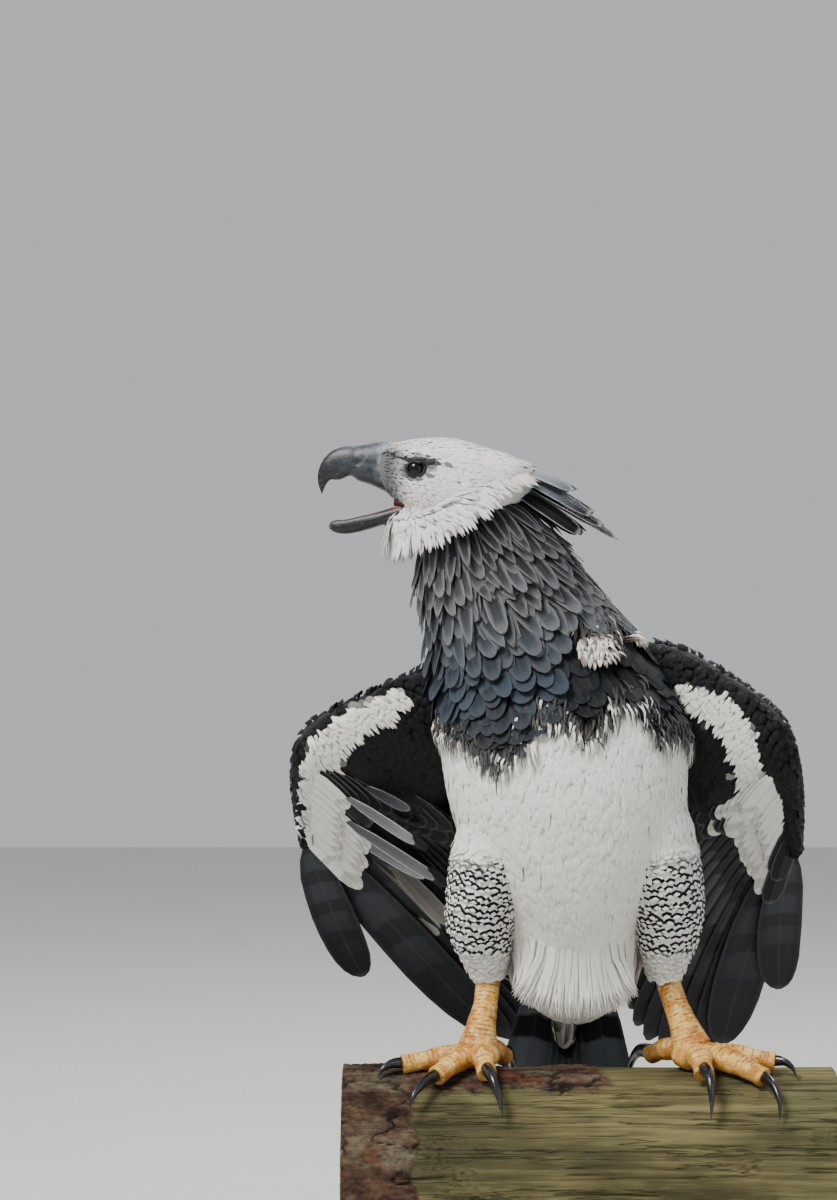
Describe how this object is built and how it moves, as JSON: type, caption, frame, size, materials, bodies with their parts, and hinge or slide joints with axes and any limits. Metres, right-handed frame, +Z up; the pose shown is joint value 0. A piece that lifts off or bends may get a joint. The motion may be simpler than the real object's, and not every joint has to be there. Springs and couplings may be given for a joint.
{
  "type": "harpy eagle display model",
  "caption": "Life-size still harpy eagle gripping a cut log with half-open wings, head turned and bill open, on a plain low stand.",
  "frame": {"origin": "middle of the stand base's flat underside", "axes": "+Z up; the bird's body faces -Y, its own left side is +X, its head is turned to its right, towards -X, and the log lies along X"},
  "size_m": [0.6038, 0.5641, 0.9739],
  "materials": {
    "head_feathers": "soft pale grey-white feathers",
    "neck_feathers": "slate grey feathers with dark edges",
    "body_feathers": "white breast and belly below a black band, dark back",
    "wing_feathers": "black feathers with a slate sheen, white along the underwing's front",
    "tail_feathers": "black feathers with grey bars",
    "thigh_feathers": "white feathers with narrow dark bars",
    "foot_skin": "orange-yellow scutes and fine scales",
    "claw": "smooth black horn",
    "bill": "dark slate horn with a black tip",
    "eye": "wet dark brown eye",
    "log": "rough bark over weathered bare wood",
    "stand_base": "dark stained, satin varnished board",
    "stand_rod": "plain satin steel rod"
  },
  "bodies": {
    "root": {"head": "head_feathers", "neck": "neck_feathers", "torso": "body_feathers", "wing_right_arm": "wing_feathers", "wing_right_hand": "wing_feathers", "wing_left_arm": "wing_feathers", "wing_left_hand": "wing_feathers", "tail": "tail_feathers", "thigh_right": "thigh_feathers", "thigh_left": "thigh_feathers", "foot_right": "foot_skin", "foot_left": "foot_skin", "claw_right_inner": "claw", "claw_right_middle": "claw", "claw_right_outer": "claw", "claw_right_hind": "claw", "claw_left_inner": "claw", "claw_left_middle": "claw", "claw_left_outer": "claw", "claw_left_hind": "claw", "bill_upper": "bill", "bill_lower": "bill", "eye_left": "eye", "eye_right": "eye", "perch_log": "log", "stand_base": "stand_base", "stand_rod_left": "stand_rod", "stand_rod_right": "stand_rod"}
  },
  "joints": []
}
